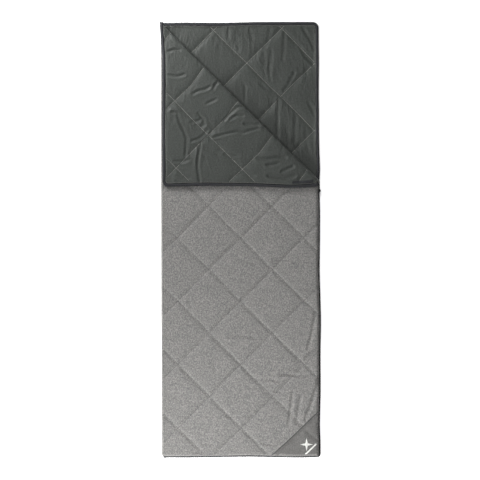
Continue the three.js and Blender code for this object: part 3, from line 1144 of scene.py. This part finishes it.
def star_sheet(name, centre, reach, waist, tree, thickness):
    """A flat four-pointed star, pressed on to the patch."""
    bm = bmesh.new()
    bmesh.ops.create_circle(bm, cap_ends=True, segments=8, radius=reach)
    for count, v in enumerate(bm.verts):
        if count % 2:
            v.co *= waist / reach
    bmesh.ops.triangulate(bm, faces=bm.faces)
    bmesh.ops.poke(bm, faces=bm.faces)
    bmesh.ops.subdivide_edges(bm, edges=bm.edges, cuts=2, use_grid_fill=True)
    bmesh.ops.translate(bm, verts=bm.verts, vec=(*centre, 0))
    for v in bm.verts:
        face = on_surface(tree, v.co.x, v.co.y, 1, thickness)
        if face:
            v.co = face
    face_up(bm)
    star = to_object(name, bm)
    wall = star.modifiers.new("film", "SOLIDIFY")
    wall.thickness = thickness
    wall.offset = -1
    return star


def dress(obj, body, slot, finish_of, *nodes):
    """Gives a finished piece its material, and hands it to the frame."""
    obj.data.materials.clear()
    obj.data.materials.append(finish_of)
    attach(obj, body)
    if nodes:
        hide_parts(*nodes)
    return obj


def make_finishes():
    """Every finish of the quilt, each made once."""
    return {
        "outer": heather_polyester(
            "heather_polyester", ((0.30, "#5D5E5F"), (0.50, "#7E7D7B"), (0.70, "#A19E9A"))),
        "patch": heather_polyester(
            "patch_heather_polyester", ((0.30, "#5E5D5B"), (0.50, "#6C6B69"), (0.72, "#7C7B79"))),
        "lining": taffeta_lining("polyester_taffeta"),
        "wadding": hollow_fibre_wadding(),
        "tape": ribbed_tape(),
        "coil": nylon_coil(),
        "zinc": lacquered_zinc(),
        "piping": bias_piping(),
        "print": transfer_print(),
        # The outer cloth's quilting thread is spun thread drawn darker than its own grey, so that it
        # also paints the shade that lies in the seam grooves.
        "seam_shade_thread": spun_thread("seam_shade_spun_thread", "#2A2A29", "#444442"),
        "grey_thread": spun_thread("grey_spun_thread", "#62625E", "#7C7C77"),
        "light_thread": spun_thread("light_spun_thread", "#7C7C76", "#A6A69E")}


def build_layers(panels, trees, finishes):
    """The three quilted layers: two cloths, their quilting threads and the wadding between."""
    long_side = (Vector((FOLD_X + WADDING_STOPS, 0)), FROM_LONG_FOLD)
    slant = (Vector((FOLD_X, HEAD_Y)) + FROM_DIAGONAL * WADDING_STOPS, FROM_DIAGONAL)
    # Name, outline, seams, middle in layers, way that the lining faces, folds, what it lies on
    layers = (
        ("base", base_outline, BASE_SEAMS, 0.5, 1, [long_side], "ground"),
        ("cover", cover_outline, COVER_SEAMS, 1.5, -1, [long_side, slant], "base_lining_cloth"),
        ("flap", flap_outline, FLAP_SEAMS, 2.5, 1, [slant], "cover_outer_cloth"))
    for layer, outline, seams, middle, up, folds, below in layers:
        outer, lining = f"{layer}_outer", f"{layer}_lining"
        dress(panels[outer], layer, "shell_cloth", finishes["outer"], f"{layer}_shell")
        dress(panels[lining], layer, "lining_cloth", finishes["lining"], lining)
        outline(SHELL_INSET)
        outline(LINING_INSET)
        for face, inset, way, slot, thread in (
                # The outer cloth's stitches carry the thread's colour and also painted shade along
                # its seams.
                (outer, SHELL_INSET, -up, "shell_cloth", "seam_shade_thread"),
                (lining, LINING_INSET, up, "lining_cloth", "light_thread")):
            rows = quilting_thread(f"{face}_quilting", panels[face], outline(inset + 3 * MM),
                                   seams, way, layer)
            dress(rows, layer, slot, finishes[thread])
        top, bottom = (lining, outer)[::up]
        pad = wadding(f"{layer}_wadding", outline(WADDING_INSET), folds, seams, middle * LAYER,
                      trees[top], trees[bottom])
        dress(pad, layer, "batting", finishes["wadding"], f"{layer}_batting")


def build_zips(panels, finishes):
    """The tape, the coil and the topstitching along each layer's zipped edge."""
    past_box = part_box("foot_retainer_box")[1].x + FITTING_GAP
    past_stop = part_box("base_head_stop")[1].x + FITTING_GAP
    below_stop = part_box("flap_head_stop")[0].y - FITTING_GAP
    # Name, edge, edge that the coil follows, level of the tape, way that the lining faces
    zips = (
        ("base", base_rim, ending(base_rim, lambda p: Vector((past_stop, p.y)),
                                  lambda p: Vector((past_box, p.y))), LAYER - TAPE_LEVEL, 1),
        ("cover", cover_rim, ending(cover_rim, None, lambda p: Vector((past_box, p.y))),
         LAYER + TAPE_LEVEL, -1),
        ("flap", flap_rim, ending(flap_rim, lambda p: Vector((p.x, below_stop)), None),
         lambda p: flap_level(p) - TAPE_LEVEL, 1))
    for layer, rim, coil_rim, level, up in zips:
        dress(zip_tape(f"{layer}_tape", rim, level, layer), layer, "zip_tape",
              finishes["tape"], f"{layer}_zip_tape")
        dress(zip_coil(f"{layer}_coil", coil_rim, level, layer), layer, "zip_coil",
              finishes["coil"], f"{layer}_zip_coil")
        dress(edge_thread(f"{layer}_edge_stitching", rim, LINING_INSET + 2.5 * MM,
                          panels[f"{layer}_lining"], up, layer), layer, "lining_cloth",
              finishes["grey_thread"])


def build_folds(trees, finishes):
    """The cloth that turns round the two folds."""
    # Fold, its line, way into the quilt, level, lower layer, upper layer, and then for each face
    # of the quilt: how far its strip stops from the two ends, its side and how far it reaches
    folds = (
        ("long_fold", LONG_FOLD, FROM_LONG_FOLD, LAYER, "base", "cover",
         (("outer", 16 * MM, 4 * MM, 1, 12 * MM), ("lining", 18 * MM, 14 * MM, -1, 14 * MM))),
        ("diagonal_fold", DIAGONAL, FROM_DIAGONAL, 2 * LAYER, "cover", "flap",
         (("lining", 14 * MM, 14 * MM, 1, 7 * MM), ("outer", 7 * MM, 7 * MM, -1, 14 * MM))))
    for fold, (near, far), inwards, level, below, above, faces in folds:
        run = (far - near).normalized()
        for face, from_near, from_far, out, reach in faces:
            line = [near + run * from_near, far - run * from_far]
            strip = fold_strip(f"{fold}_{face}", line, inwards, level, trees[f"{below}_{face}"],
                               trees[f"{above}_{face}"], out, reach)
            bridge_fold(strip, finishes[face])


def build_patch(trees, finishes):
    """The corner patch with its piping and its printed stripe and star."""
    low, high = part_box("corner_patch")
    seam = patch_line(0)
    outline = [Vector((high.x, low.y)), *seam[::-1]]
    patch = draped_sheet("patch_cloth", outline, trees["cover_outer"], 0.9 * MM, 6 * MM, 0.6 * MM)
    dress(patch, "cover", "patch_cloth", finishes["patch"], "corner_patch")
    line = [on_surface(trees["cover_outer"], p.x, p.y, 1, 1.0 * MM)
            for p in raised(even_steps(patch_line(1.6 * MM), 8 * MM), 0)]
    round_cord = [(1.6 * MM * math.cos(t * math.pi / 4), 1.2 * MM * math.sin(t * math.pi / 4))
                  for t in range(8)]
    piping = swept("patch_piping_cord", [p for p in line if p], round_cord)
    dress(piping, "cover", "piping", finishes["piping"], "patch_piping")

    run = (seam[1] - seam[0]).normalized()
    side = Vector((run.y, -run.x))
    start = seam[0] + run * 116 * MM + side * 96 * MM
    width, length = side * 7 * MM, run * 70 * MM
    bar = [start, start + width, start + width + length, start + length]
    on_patch = surface_of(patch)
    stripe = draped_sheet("patch_stripe", bar, on_patch, 0.5 * MM, 6 * MM, 0.4 * MM)
    dress(stripe, "cover", "emblem_thread", finishes["print"])
    low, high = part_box("emblem")
    star = star_sheet("patch_star", ((low + high) / 2).to_2d(), (high.x - low.x) / 2, 8 * MM,
                      on_patch, 0.5 * MM)
    dress(star, "cover", "emblem_thread", finishes["print"], "emblem")


def build_quilt():
    finishes = make_finishes()
    panels = make_panels()
    trees = {name: surface_of(panel) for name, panel in panels.items()}
    build_layers(panels, trees, finishes)
    build_zips(panels, finishes)
    build_folds(trees, finishes)
    build_patch(trees, finishes)
    for name in ("slider_body", "pull_pin", "pull_tab", "base_head_stop", "flap_head_stop",
                 "foot_retainer_box", "foot_insertion_pin"):
        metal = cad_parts[name].data.materials
        metal.clear()
        metal.append(finishes["zinc"])
    low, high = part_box("snag_guard")
    strip = [Vector((low.x, low.y)), Vector((high.x, low.y)), Vector((high.x, high.y)),
             Vector((low.x, high.y))]
    guard = draped_sheet("stiffening_tape", strip, trees["flap_lining"], 1.1 * MM, 6 * MM,
                         0.8 * MM, "flap")
    dress(guard, "flap", "zip_tape", finishes["tape"], "snag_guard")


look_down()
studio()
lay_floor()
build_quilt()
